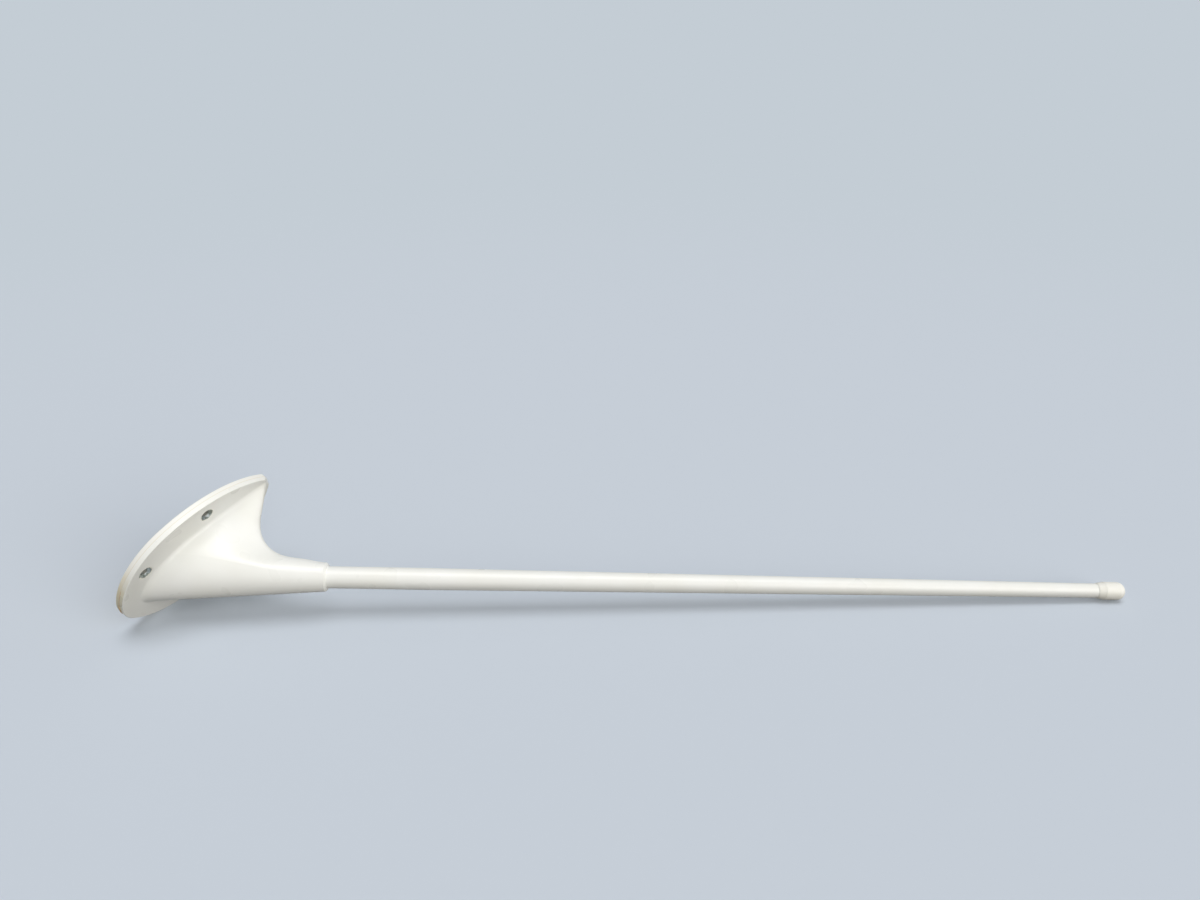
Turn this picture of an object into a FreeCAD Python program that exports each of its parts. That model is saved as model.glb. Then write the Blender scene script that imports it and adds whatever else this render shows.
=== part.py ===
import FreeCAD, Part
import math
import os
import re
import Sketcher

# Raked whip antenna for an aircraft's VHF radio.
# X runs aft along the aircraft, Z points out of the skin, Y is to the side; the mounting face lies on Z = 0.
# The origin is the centre of the four mounting bolts. Lengths are millimetres, angles degrees.

SIZES = (
    # Base: a teardrop drawn with a nose arc, two shoulder arcs, two flank arcs and a tail arc
    ("base_front", 48.6, "nose of the base ahead of the origin"),
    ("base_rear", 63.3, "tail of the base behind the origin"),
    ("base_half_width", 38.7, "widest half width of the base"),
    ("base_widest", 3.0, "widest station ahead of the origin"),
    ("base_nose_radius", 23.6, "radius of the nose"),
    ("base_tail_radius", 5.2, "radius of the tail"),
    ("plate_thickness", 2.5, "aluminium base plate"),
    ("seal_thickness", 0.4, "sealant between the plate and the fairing"),
    ("flange_thickness", 3.0, "moulded flange round the fin"),
    ("flange_edge_radius", 0.5, "rounding of the flange's upper edge"),
    ("plate_edge_chamfer", 0.2, "chamfer round the plate's lower edge"),
    # Fastening to the skin
    ("bolt_spacing_x", 45.6, "bolt pattern along the aircraft"),
    ("bolt_spacing_y", 48.2, "bolt pattern across the aircraft"),
    ("bolt_hole_radius", 2.25, "clearance bore for the mounting bolt"),
    ("bolt_sink_radius", 4.0, "mouth of the countersink for the bolt's head"),
    ("sink_angle", 100.0, "included angle of the countersink"),
    ("sleeve_radius", 3.0, "outside of the metal sleeve"),
    ("sleeve_head_radius", 4.35, "outside of the sleeve's flared head"),
    ("fit_gap", 0.03, "radial clearance of pressed and bonded pieces"),
    # Mast, measured along its own axis from the mounting face
    ("rake", 51.2, "mast axis above the mounting face"),
    ("mast_foot", -20.0, "where the mast axis crosses the mounting face"),
    ("mast_seat", 34.0, "bottom of the socket that holds the mast"),
    ("mast_radius", 6.6, "radius of the mast's parallel part"),
    ("mast_parallel", 160.0, "end of the parallel part"),
    ("mast_tip_radius", 4.45, "radius of the mast under the cap"),
    ("mast_tip_run", 12.0, "parallel stretch at the upper end"),
    ("mast_end", 583.0, "upper end of the mast tube"),
    ("mast_bore_radius", 1.7, "bore of the mast tube"),
    ("radiator_radius", 1.6, "radiating rod inside the mast"),
    ("radiator_end_gap", 9.0, "rod stops this far short of the mast's end"),
    ("cap_radius", 5.55, "outside of the tip cap"),
    ("cap_crown", 7.0, "cap beyond the mast's end"),
    ("cap_skirt", 10.6, "how far the cap reaches down over the mast"),
    ("cap_taper", 4.2, "conical stretch at the lower end of the skirt"),
    ("cap_lip", 0.25, "wall of the cap at the skirt's end"),
    ("cap_step", 0.12, "step between the cone and the full radius"),
    ("cap_dome_radius", 5.05, "rounding of the cap's end"),
    # Ferrule at the mast's foot
    ("ferrule_flange", 2.0, "thickness of the ferrule's flange"),
    ("ferrule_spigot_radius", 3.0, "spigot inside the mast tube"),
    ("ferrule_spigot", 18.0, "length of that spigot"),
    ("ferrule_socket", 14.0, "depth of the rod's socket in the ferrule"),
    ("ferrule_stud_radius", 1.2, "solder stud below the flange"),
    ("ferrule_stud", 6.0, "length of the solder stud"),
    ("stud_socket", 2.5, "depth of the lead's socket in the stud"),
    ("passage_radius", 3.0, "passage from the socket down to the cavity"),
    ("passage_foot", 17.0, "lower end of the passage along the mast axis"),
    # Fin of the fairing
    ("neck_end", 99.7, "end of the neck along the mast axis"),
    ("neck_radius", 8.55, "outside of the neck"),
    ("neck_chamfer", 0.8, "chamfer round the neck's end"),
    ("neck_overrun", 2.0, "how far the fin is lofted past the neck's end before it is cut flat"),
    ("neck_clearance", 20.0, "how far the cut at the neck's end clears it"),
    ("lead_taper", 4.1, "leading edge against the mast axis"),
    ("neck_taper", 8.2, "trailing edge against the mast axis at the neck"),
    ("tail_slope", 38.4, "trailing edge above the flange at the tail"),
    ("tail_setback", 2.6, "foot of the trailing edge inside the tail of the base"),
    ("tail_bevel", 0.6, "head of the flange's bevelled tail behind the foot of the trailing edge"),
    ("tail_land", 0.4, "upright part of the flange's tail below the bevel"),
    ("notch_radius", 23.5, "hollow of the trailing edge"),
    ("fin_half_width", 18.1, "half width of the fin at the flange"),
    ("widest_aft", 10.0, "widest line behind the mast axis at the flange"),
    ("widest_blend", 62.0, "height over which that line runs back to the mast axis"),
    ("trail_half_width", 2.4, "fullness of the trailing edge"),
    ("root_radius", 2.5, "hollow fillet between the fin and the flange"),
    ("root_lead", 1.1, "reach of that fillet at the leading edge"),
    ("root_trail", 0.5, "reach of that fillet at the trailing edge"),
    # Cavity for the matching circuit, open to the base plate
    ("cavity_height", 17.0, "cavity above the fairing's lower face"),
    ("cavity_nose", 11.0, "centre of the cavity's nose ahead of the origin"),
    ("cavity_nose_radius", 11.0, "radius of the cavity's nose"),
    ("cavity_tail", 32.0, "centre of the cavity's tail behind the origin"),
    ("cavity_tail_radius", 4.5, "radius of the cavity's tail"),
    ("ceiling_nose", 3.0, "centre of the ceiling's nose ahead of the origin"),
    ("ceiling_nose_radius", 9.0, "radius of the ceiling's nose"),
    ("ceiling_tail", 24.0, "centre of the ceiling's tail behind the origin"),
    ("ceiling_tail_radius", 4.0, "radius of the ceiling's tail"),
    # Screws from below that hold the fairing on the plate
    ("screw_front", 26.5, "front screw ahead of the origin"),
    ("screw_rear", 45.5, "rear screw behind the origin"),
    ("screw_radius", 1.5, "screw shank"),
    ("screw_head_radius", 2.9, "screw head"),
    ("screw_length", 7.4, "screw from its head's face to its point"),
    ("screw_slot_width", 0.8, "driving slot"),
    ("screw_slot_depth", 0.6, "depth of the driving slot"),
    ("insert_radius", 2.2, "outside of the brass insert"),
    ("insert_length", 5.5, "length of the brass insert"),
    # Coaxial connector below the plate
    ("shell_radius", 4.83, "mating barrel of the connector"),
    ("shell_length", 9.8, "mating barrel below its flange"),
    ("shell_bore_radius", 4.1, "bore that the plug enters"),
    ("shell_bore_depth", 8.6, "depth of that bore"),
    ("lug_radius", 1.0, "bayonet lug"),
    ("lug_reach", 5.55, "tips of the lugs from the axis"),
    ("lug_setback", 4.9, "lugs behind the barrel's mouth"),
    ("shell_flange_radius", 6.6, "flange of the connector"),
    ("shell_flange", 1.8, "thickness of that flange"),
    ("gasket_thickness", 0.5, "flat gasket under the flange"),
    ("shank_radius", 4.75, "threaded shank through the plate"),
    ("shank_flat", 4.2, "flat of the shank from the axis"),
    ("shank_top", 6.6, "end of the shank above the mounting face"),
    ("dielectric_radius", 2.4, "insulator round the contact"),
    ("dielectric_setback", 1.0, "insulator behind the barrel's mouth"),
    ("dielectric_collar", 1.4, "collar of the insulator at the bottom of the bore"),
    ("dielectric_top", 7.4, "upper end of the insulator"),
    ("contact_radius", 1.05, "socket of the contact"),
    ("contact_bore_radius", 0.7, "hole that takes the plug's pin"),
    ("contact_bore_depth", 5.0, "depth of that hole"),
    ("contact_web", 1.0, "solid metal behind that hole"),
    ("contact_setback", 0.4, "contact behind the insulator's end"),
    ("pin_radius", 0.6, "solder pin of the contact"),
    ("pin_above_board", 1.2, "solder pin above the circuit board"),
    ("washer_thickness", 0.5, "toothed lock washer"),
    ("washer_radius", 6.9, "outside of the lock washer"),
    ("washer_tooth", 0.9, "depth of the washer's notches"),
    ("washer_teeth", 12.0, "teeth round the washer"),
    ("tag_thickness", 0.4, "solder tag under the nut"),
    ("tag_ring", 1.6, "width of the tag's ring"),
    ("tag_width", 3.0, "width of the tag's arm"),
    ("tag_reach", 10.0, "outside of the tag's upright from the axis"),
    ("nut_flats", 12.7, "hexagon nut across flats"),
    ("nut_thickness", 2.4, "hexagon nut"),
    # Seal ring towards the aircraft's skin
    ("ring_radius", 9.0, "mean radius of the seal ring"),
    ("ring_section", 0.9, "section radius of the seal ring"),
    ("ring_proud", 0.4, "how far the loose ring stands out of its groove"),
    ("groove_side_gap", 0.25, "groove wider than the ring on each side"),
    # Matching circuit
    ("board_height", 9.0, "underside of the circuit board"),
    ("board_thickness", 1.6, "circuit board"),
    ("board_front", 15.5, "front edge ahead of the origin"),
    ("board_front_shoulder", 9.5, "where the front corners start"),
    ("board_rear", 24.0, "rear edge behind the origin"),
    ("board_rear_shoulder", 0.5, "where the taper towards the rear starts"),
    ("board_half_front", 4.5, "half width of the front edge"),
    ("board_half_width", 8.2, "half width between the shoulders"),
    ("board_half_rear", 4.2, "half width of the rear edge"),
    ("pillar_radius", 1.9, "pillar under the board"),
    ("pillar_spigot", 1.2, "spigot pressed into the plate"),
    ("pillar_spigot_radius", 1.1, "radius of that spigot"),
    ("pillar_front", 10.0, "front pillars ahead of the origin"),
    ("pillar_front_side", 5.2, "front pillars from the middle"),
    ("pillar_rear", 19.5, "rear pillars behind the origin"),
    ("pillar_rear_side", 2.6, "rear pillars from the middle"),
    ("board_screw_radius", 0.8, "shank of the board's screws"),
    ("board_screw_head", 1.5, "head radius of the board's screws"),
    ("board_screw_head_height", 1.1, "head height of the board's screws"),
    ("board_screw_length", 4.5, "shank of the board's screws"),
    ("board_slot_width", 0.4, "driving slot of the board's screws"),
    ("board_slot_depth", 0.55, "depth of that slot"),
    ("coil_wire_radius", 0.45, "enamelled wire of the coil"),
    ("coil_pitch", 1.5, "pitch of the coil"),
    ("coil_turns", 6.0, "turns of the coil"),
    ("former_radius", 2.2, "round core of the coil's former"),
    ("former_cheek", 3.6, "half height and half width of the former's cheeks"),
    ("former_cheek_thickness", 1.0, "thickness of the cheeks"),
    ("former_start", 3.5, "front cheek behind the origin"),
    ("capacitor_length", 4.5, "ceramic capacitor"),
    ("capacitor_width", 2.0, "thickness of the capacitor"),
    ("capacitor_height", 4.0, "height of the capacitor"),
    ("capacitor_side", 6.4, "capacitors from the middle"),
    ("capacitor_aft", 0.5, "capacitors behind the origin"),
    ("lead_radius", 0.55, "wire from the ferrule to the board"),
    ("lead_bend", 3.0, "bend of that wire"),
    ("lead_elbow", 20.5, "corner of that wire along the mast axis"),
    ("lead_below_board", 1.0, "clipped end below the board"),
    ("hole_gap", 0.1, "radial clearance of holes in the board"),
)

doc = FreeCAD.newDocument("raked_whip_antenna")
sheet = doc.addObject("Spreadsheet::Sheet", "sizes")
for number, (alias, value, note) in enumerate(SIZES, start=1):
    sheet.set("A%d" % number, note)
    sheet.set("B%d" % number, str(value))
    sheet.setAlias("B%d" % number, alias)
doc.recompute()

ALIASES = [alias for alias, value, note in SIZES]
NODES = []


def formula(text):
    """Writes a formula in the sheet's aliases the way other objects refer to them."""
    return re.sub("[a-z_]+", lambda word: "sizes." + word[0] if word[0] in ALIASES else word[0], text)


def size(text):
    """The value of a formula in the sheet's aliases, in millimetres or degrees."""
    return float(sheet.evalExpression(formula(text)))


def bind(target, path, text):
    target.setExpression(path, formula(text))


def node(target, label):
    """Keeps an object as a finished piece under its own name."""
    target.Label = label
    NODES.append(target)
    return target


# Sketches


def new_body(name):
    return doc.addObject("PartDesign::Body", name + "_body")


def plane_sketch(body, name, role, height=None):
    """A sketch on one of the body's origin planes, raised along its normal where a height is given."""
    sketch = body.newObject("Sketcher::SketchObject", name)
    plane = next(feature for feature in body.Origin.OriginFeatures if feature.Role == role)
    sketch.AttachmentSupport = [(plane, "")]
    sketch.MapMode = "FlatFace"
    if height:
        bind(sketch, "AttachmentOffset.Base.z", height)
    return sketch


def mast_sketch(body, name):
    """A sketch in the plane of symmetry whose X axis is the mast axis, from the mounting face outwards."""
    sketch = plane_sketch(body, name, "XZ_Plane")
    turn = FreeCAD.Rotation(FreeCAD.Vector(0, 0, 1), size("rake"))
    sketch.AttachmentOffset = FreeCAD.Placement(FreeCAD.Vector(size("mast_foot"), 0, 0), turn)
    bind(sketch, "AttachmentOffset.Base.x", "mast_foot")
    bind(sketch, "AttachmentOffset.Rotation.Angle", "rake * 1 deg")
    return sketch


def dimension(sketch, kind, places, text):
    index = sketch.addConstraint(Sketcher.Constraint(kind, *places, size(text)))
    bind(sketch, "Constraints[%d]" % index, text)


def draw_polygon(sketch, corners):
    """A closed outline through corners given as pairs of formulas, each corner held by two dimensions."""
    points = [FreeCAD.Vector(size(x), size(y), 0) for x, y in corners]
    lines = [
        sketch.addGeometry(Part.LineSegment(point, points[(i + 1) % len(points)]), False)
        for i, point in enumerate(points)
    ]
    for i, line in enumerate(lines):
        after = lines[(i + 1) % len(lines)]
        sketch.addConstraint(Sketcher.Constraint("Coincident", line, 2, after, 1))
        dimension(sketch, "DistanceX", (-1, 1, line, 1), corners[i][0])
        dimension(sketch, "DistanceY", (-1, 1, line, 1), corners[i][1])


def draw_circle(sketch, x, y, radius):
    centre = FreeCAD.Vector(size(x), size(y), 0)
    circle = sketch.addGeometry(Part.Circle(centre, FreeCAD.Vector(0, 0, 1), size(radius)), False)
    dimension(sketch, "DistanceX", (-1, 1, circle, 3), x)
    dimension(sketch, "DistanceY", (-1, 1, circle, 3), y)
    dimension(sketch, "Radius", (circle,), radius)


def arc(centre_x, centre_y, radius, start, end):
    circle = Part.Circle(FreeCAD.Vector(centre_x, centre_y, 0), FreeCAD.Vector(0, 0, 1), radius)
    return Part.ArcOfCircle(circle, start, end)


def chain(sketch, pieces):
    """Joins the end of each piece to the start of the next, tangent to it."""
    for piece, after in zip(pieces, pieces[1:] + pieces[:1]):
        sketch.addConstraint(Sketcher.Constraint("Tangent", piece, 2, after, 1))


def draw_teardrop(sketch):
    """The outline of the base: six tangent arcs, drawn anticlockwise from the nose."""
    nose_radius = size("base_nose_radius")
    tail_radius = size("base_tail_radius")
    nose_x = nose_radius - size("base_front")
    tail_x = size("base_rear") - tail_radius
    widest_x = -size("base_widest")
    half = size("base_half_width")
    shoulder = ((widest_x - nose_x) ** 2 + half**2 - nose_radius**2) / (2 * (half - nose_radius))
    flank = ((tail_x - widest_x) ** 2 + half**2 - tail_radius**2) / (2 * (half - tail_radius))
    nose_angle = math.atan2(shoulder - half, nose_x - widest_x)
    tail_angle = math.atan2(flank - half, tail_x - widest_x)
    side = math.pi / 2
    turn = 2 * math.pi
    arcs = (
        arc(nose_x, 0, nose_radius, nose_angle, turn - nose_angle),
        arc(widest_x, shoulder - half, shoulder, turn - nose_angle, turn - side),
        arc(widest_x, flank - half, flank, -side, -tail_angle),
        arc(tail_x, 0, tail_radius, -tail_angle, tail_angle),
        arc(widest_x, half - flank, flank, tail_angle, side),
        arc(widest_x, half - shoulder, shoulder, side, nose_angle),
    )
    nose, low_shoulder, low_flank, tail, high_flank, high_shoulder = (
        sketch.addGeometry(piece, False) for piece in arcs
    )
    chain(sketch, [nose, low_shoulder, low_flank, tail, high_flank, high_shoulder])
    sketch.addConstraint(Sketcher.Constraint("PointOnObject", nose, 3, -1))
    sketch.addConstraint(Sketcher.Constraint("PointOnObject", tail, 3, -1))
    dimension(sketch, "Radius", (nose,), "base_nose_radius")
    dimension(sketch, "Radius", (tail,), "base_tail_radius")
    dimension(sketch, "DistanceX", (-1, 1, nose, 3), "base_nose_radius - base_front")
    dimension(sketch, "DistanceX", (-1, 1, tail, 3), "base_rear - base_tail_radius")
    for side_arc in (low_shoulder, low_flank, high_flank, high_shoulder):
        dimension(sketch, "DistanceX", (-1, 1, side_arc, 3), "0 - base_widest")
    dimension(sketch, "DistanceY", (-1, 1, low_flank, 1), "0 - base_half_width")
    dimension(sketch, "DistanceY", (-1, 1, high_shoulder, 1), "base_half_width")


def draw_tapered_slot(sketch, nose, nose_radius, tail, tail_radius):
    """Two arcs of different radius on the centre line and the two straight sides that touch both."""
    nose_x = -size(nose)
    tail_x = size(tail)
    lean = math.asin((size(nose_radius) - size(tail_radius)) / (tail_x - nose_x))
    start = math.pi / 2 - lean
    front = arc(nose_x, 0, size(nose_radius), start, 2 * math.pi - start)
    back = arc(tail_x, 0, size(tail_radius), -start, start)
    low = Part.LineSegment(front.EndPoint, back.StartPoint)
    high = Part.LineSegment(back.EndPoint, front.StartPoint)
    front, low, back, high = (sketch.addGeometry(piece, False) for piece in (front, low, back, high))
    chain(sketch, [front, low, back, high])
    sketch.addConstraint(Sketcher.Constraint("PointOnObject", front, 3, -1))
    sketch.addConstraint(Sketcher.Constraint("PointOnObject", back, 3, -1))
    dimension(sketch, "DistanceX", (-1, 1, front, 3), "0 - " + nose)
    dimension(sketch, "DistanceX", (-1, 1, back, 3), tail)
    dimension(sketch, "Radius", (front,), nose_radius)
    dimension(sketch, "Radius", (back,), tail_radius)


# Features


def pad(body, name, sketch, length):
    feature = body.newObject("PartDesign::Pad", name)
    feature.Profile = sketch
    bind(feature, "Length", length)
    return feature


def pocket(body, name, sketch, depth, upwards=False):
    """Cuts the sketch into the body, downwards from its plane unless told otherwise."""
    doc.recompute()
    before = body.Shape.Volume
    feature = body.newObject("PartDesign::Pocket", name)
    feature.Profile = sketch
    feature.Reversed = upwards
    bind(feature, "Length", depth)
    doc.recompute()
    if body.Shape.Volume > before - 1e-6:
        raise RuntimeError(name + " cut nothing")
    return feature


def revolve(body, name, sketch, axis, cut=False):
    kind = "PartDesign::Groove" if cut else "PartDesign::Revolution"
    feature = body.newObject(kind, name)
    feature.Profile = sketch
    feature.ReferenceAxis = (sketch, [axis])
    feature.Angle = 360
    return feature


def dress(body, kind, name, keep, length):
    """Rounds or chamfers the edges of the body's last feature that keep() picks."""
    doc.recompute()
    base = body.Tip
    names = ["Edge%d" % i for i, edge in enumerate(base.Shape.Edges, start=1) if keep(edge)]
    feature = body.newObject(kind, name)
    feature.Base = (base, names)
    bind(feature, "Radius" if kind == "PartDesign::Fillet" else "Size", length)
    doc.recompute()
    return feature


def at_height(edge, height):
    box = edge.BoundBox
    return abs(box.ZMin - height) < 1e-4 and abs(box.ZMax - height) < 1e-4


def turned(label, corners, along_mast=False):
    """A turned piece: corners are (along the axis, radius) on the mast, or (radius, height) upright."""
    body = new_body(label)
    if along_mast:
        sketch = mast_sketch(body, label + "_profile")
        axis = "H_Axis"
    else:
        sketch = plane_sketch(body, label + "_profile", "XZ_Plane")
        axis = "V_Axis"
    draw_polygon(sketch, corners)
    revolve(body, label + "_turning", sketch, axis)
    return node(body, label)


def cylinder(name, radius, height, x="0", y="0", z="0"):
    """An upright cylinder whose lower end stands at (x, y, z), all given as formulas."""
    solid = doc.addObject("Part::Cylinder", name)
    bind(solid, "Radius", radius)
    bind(solid, "Height", height)
    for axis, place in (("x", x), ("y", y), ("z", z)):
        bind(solid, "Placement.Base." + axis, place)
    return solid


def cone(name, low_radius, high_radius, height, x, y, z):
    solid = doc.addObject("Part::Cone", name)
    bind(solid, "Radius1", low_radius)
    bind(solid, "Radius2", high_radius)
    bind(solid, "Height", height)
    for axis, place in (("x", x), ("y", y), ("z", z)):
        bind(solid, "Placement.Base." + axis, place)
    return solid


def block(name, lengths, place):
    solid = doc.addObject("Part::Box", name)
    for prop, length in zip(("Length", "Width", "Height"), lengths):
        bind(solid, prop, length)
    for axis, position in zip(("x", "y", "z"), place):
        bind(solid, "Placement.Base." + axis, position)
    return solid


def fused(name, solids):
    result = doc.addObject("Part::MultiFuse", name)
    result.Shapes = solids
    return result


def cut(name, base, tool):
    result = doc.addObject("Part::Cut", name)
    result.Base = base
    result.Tool = tool
    return result


def group(label, solids):
    """Like pieces that stay separate solids in one node."""
    result = doc.addObject("Part::Compound", label + "_set")
    result.Links = solids
    return node(result, label)


# Heights that several pieces share
FAIRING_FOOT = "plate_thickness + seal_thickness"
FLANGE_TOP = "plate_thickness + seal_thickness + flange_thickness"
SHELL_FLANGE_TOP = "0 - gasket_thickness"
SHELL_FLANGE_FOOT = "0 - gasket_thickness - shell_flange"
SHELL_MOUTH = "0 - gasket_thickness - shell_flange - shell_length"
BOARD_TOP = "board_height + board_thickness"
TAG_FOOT = "plate_thickness + washer_thickness"
NUT_FOOT = "plate_thickness + washer_thickness + tag_thickness"
MAST_FOOT = "mast_seat + ferrule_flange"
SINK_DEPTH = "( bolt_sink_radius - bolt_hole_radius ) / tan( sink_angle / 2 * 1 deg )"
HEAD_DEPTH = "( sleeve_head_radius - sleeve_radius ) / tan( sink_angle / 2 * 1 deg )"
SCREW_HEAD_DEPTH = "screw_head_radius - screw_radius"
PILLARS = (
    ("0 - pillar_front", "pillar_front_side"),
    ("0 - pillar_front", "0 - pillar_front_side"),
    ("pillar_rear", "pillar_rear_side"),
    ("pillar_rear", "0 - pillar_rear_side"),
)
BOLTS = tuple(
    ("bolt_spacing_x / 2 * ( %d )" % along, "bolt_spacing_y / 2 * ( %d )" % across)
    for along in (-1, 1)
    for across in (-1, 1)
)
BASE_SCREWS = (("0 - screw_front", "0"), ("screw_rear", "0"))


# Base plate and the seal on it


def make_base_plate():
    body = new_body("base_plate")
    outline = plane_sketch(body, "plate_outline", "XY_Plane")
    draw_teardrop(outline)
    pad(body, "plate_blank", outline, "plate_thickness")
    dress(body, "PartDesign::Chamfer", "plate_chamfer", lambda edge: at_height(edge, 0), "plate_edge_chamfer")

    holes = plane_sketch(body, "sleeve_holes", "XY_Plane", "plate_thickness")
    for x, y in BOLTS:
        draw_circle(holes, x, y, "sleeve_radius + fit_gap")
    pocket(body, "sleeve_hole_cut", holes, "plate_thickness")

    seats = plane_sketch(body, "pillar_seats", "XY_Plane", "plate_thickness")
    for x, y in PILLARS:
        draw_circle(seats, x, y, "pillar_spigot_radius + fit_gap")
    pocket(body, "pillar_seat_cut", seats, "pillar_spigot + fit_gap")

    # The connector's hole has a flat that keeps the shank from turning
    opening = plane_sketch(body, "connector_hole", "XY_Plane", "plate_thickness")
    radius = size("shank_radius + fit_gap")
    flat = size("shank_flat + fit_gap")
    lean = math.asin(flat / radius)
    rim = opening.addGeometry(arc(0, 0, radius, math.pi - lean, 2 * math.pi + lean), False)
    ends = [FreeCAD.Vector(side * radius * math.cos(lean), flat, 0) for side in (1, -1)]
    edge = opening.addGeometry(Part.LineSegment(*ends), False)
    opening.addConstraint(Sketcher.Constraint("Coincident", rim, 3, -1, 1))
    opening.addConstraint(Sketcher.Constraint("Coincident", rim, 2, edge, 1))
    opening.addConstraint(Sketcher.Constraint("Coincident", edge, 2, rim, 1))
    opening.addConstraint(Sketcher.Constraint("Horizontal", edge))
    dimension(opening, "Radius", (rim,), "shank_radius + fit_gap")
    dimension(opening, "DistanceY", (-1, 1, edge, 1), "shank_flat + fit_gap")
    pocket(body, "connector_hole_cut", opening, "plate_thickness")

    ring = plane_sketch(body, "ring_groove", "XZ_Plane")
    inner = "ring_radius - ring_section - groove_side_gap"
    outer = "ring_radius + ring_section + groove_side_gap"
    depth = "2 * ring_section - ring_proud"
    draw_polygon(ring, ((inner, "-1"), (outer, "-1"), (outer, depth), (inner, depth)))
    revolve(body, "ring_groove_cut", ring, "V_Axis", cut=True)

    # Countersunk from below, one screw at a time
    for name, (x, y) in zip(("front", "rear"), BASE_SCREWS):
        shank = plane_sketch(body, name + "_screw_hole", "XY_Plane", "plate_thickness")
        draw_circle(shank, x, y, "screw_radius + fit_gap")
        pocket(body, name + "_screw_hole_cut", shank, "plate_thickness")
        rim = "screw_radius + fit_gap"
        dress(
            body,
            "PartDesign::Chamfer",
            name + "_screw_sink",
            lambda edge: at_height(edge, 0) and round_at(edge, size(x), size(y), size(rim)),
            SCREW_HEAD_DEPTH,
        )
    return node(body, "base_plate")


def round_at(edge, x, y, radius):
    """Whether an edge is a full circle of this radius about this place."""
    curve = edge.Curve
    if not isinstance(curve, Part.Circle):
        return False
    offset = math.hypot(curve.Center.x - x, curve.Center.y - y)
    return offset < 1e-4 and abs(curve.Radius - radius) < 1e-4


def make_joint_seal():
    """A bead of sealant spread over the flange, open over the cavity and at every bore."""
    body = new_body("joint_seal")
    outline = plane_sketch(body, "seal_outline", "XY_Plane", "plate_thickness")
    draw_teardrop(outline)
    draw_tapered_slot(outline, "cavity_nose", "cavity_nose_radius", "cavity_tail", "cavity_tail_radius")
    for x, y in BOLTS:
        draw_circle(outline, x, y, "sleeve_radius + fit_gap")
    for x, y in BASE_SCREWS:
        draw_circle(outline, x, y, "screw_radius + fit_gap")
    pad(body, "seal_layer", outline, "seal_thickness")
    return node(body, "joint_seal")


def make_seal_ring():
    ring = doc.addObject("Part::Torus", "seal_ring")
    bind(ring, "Radius1", "ring_radius")
    bind(ring, "Radius2", "ring_section")
    bind(ring, "Placement.Base.z", "ring_section - ring_proud - fit_gap")
    return node(ring, "skin_seal_ring")


# Fairing: the fin is lofted through level sections, and each section is four smooth curves

QUARTER = 0.5523  # handle length of a cubic curve that stands for a quarter of an ellipse
FLANK_SHARE = 0.22  # share of the chord over which the flank leaves its full width
TAIL_SHARE = 0.18  # share of the chord over which the flank turns into the trailing edge
TAIL_FLARE = 0.6  # how much fuller the trailing edge is at the foot of the root fillet
ROUND_FROM = 0.35  # share of the neck's height where the wedge starts to turn into an ellipse
ROUND_OVER = 0.6  # share of the neck's height that this takes
FILLET_STEPS = 5  # sections over the root fillet
FIN_LEVELS = 11  # sections above the fillet


def leading_edge(height):
    """X of the straight leading edge at this height."""
    rake = math.radians(size("rake"))
    corner_x = size("mast_foot") + size("neck_end") * math.cos(rake) - size("neck_radius") * math.sin(rake)
    corner_z = size("neck_end") * math.sin(rake) + size("neck_radius") * math.cos(rake)
    return corner_x - (corner_z - height) / math.tan(rake - math.radians(size("lead_taper")))


def trailing_edge(height):
    """X of the trailing edge: a line up from the tail, the hollow, and a line to the neck."""
    rake = math.radians(size("rake"))
    tail_x = size("base_rear") - size("tail_setback")
    tail_z = size(FLANGE_TOP)
    neck_x = size("mast_foot") + size("neck_end") * math.cos(rake) + size("neck_radius") * math.sin(rake)
    neck_z = size("neck_end") * math.sin(rake) - size("neck_radius") * math.cos(rake)
    tail_run = 1 / math.tan(math.radians(size("tail_slope")))
    neck_angle = rake + math.radians(size("neck_taper"))
    neck_run = 1 / math.tan(neck_angle)
    corner_z = (tail_x + tail_z * tail_run - neck_x + neck_z * neck_run) / (tail_run + neck_run)
    corner_x = tail_x - (corner_z - tail_z) * tail_run
    # The hollow's centre lies behind the corner, on the line that halves it
    opening = math.pi - math.radians(size("tail_slope")) - neck_angle
    away = size("notch_radius") / math.cos(opening / 2)
    middle = (neck_angle - math.radians(size("tail_slope"))) / 2
    centre_x = corner_x + away * math.cos(middle)
    centre_z = corner_z + away * math.sin(middle)
    reach = size("notch_radius") * math.tan(opening / 2)
    low_z = corner_z - reach * math.sin(math.radians(size("tail_slope")))
    high_z = corner_z + reach * math.sin(neck_angle)
    if height < low_z:
        return tail_x - (height - tail_z) * tail_run
    if height > high_z:
        return neck_x - (neck_z - height) * neck_run
    return centre_x - math.sqrt(size("notch_radius") ** 2 - (height - centre_z) ** 2)


def smooth_step(share):
    share = min(max(share, 0.0), 1.0)
    return share * share * (3 - 2 * share)


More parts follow.
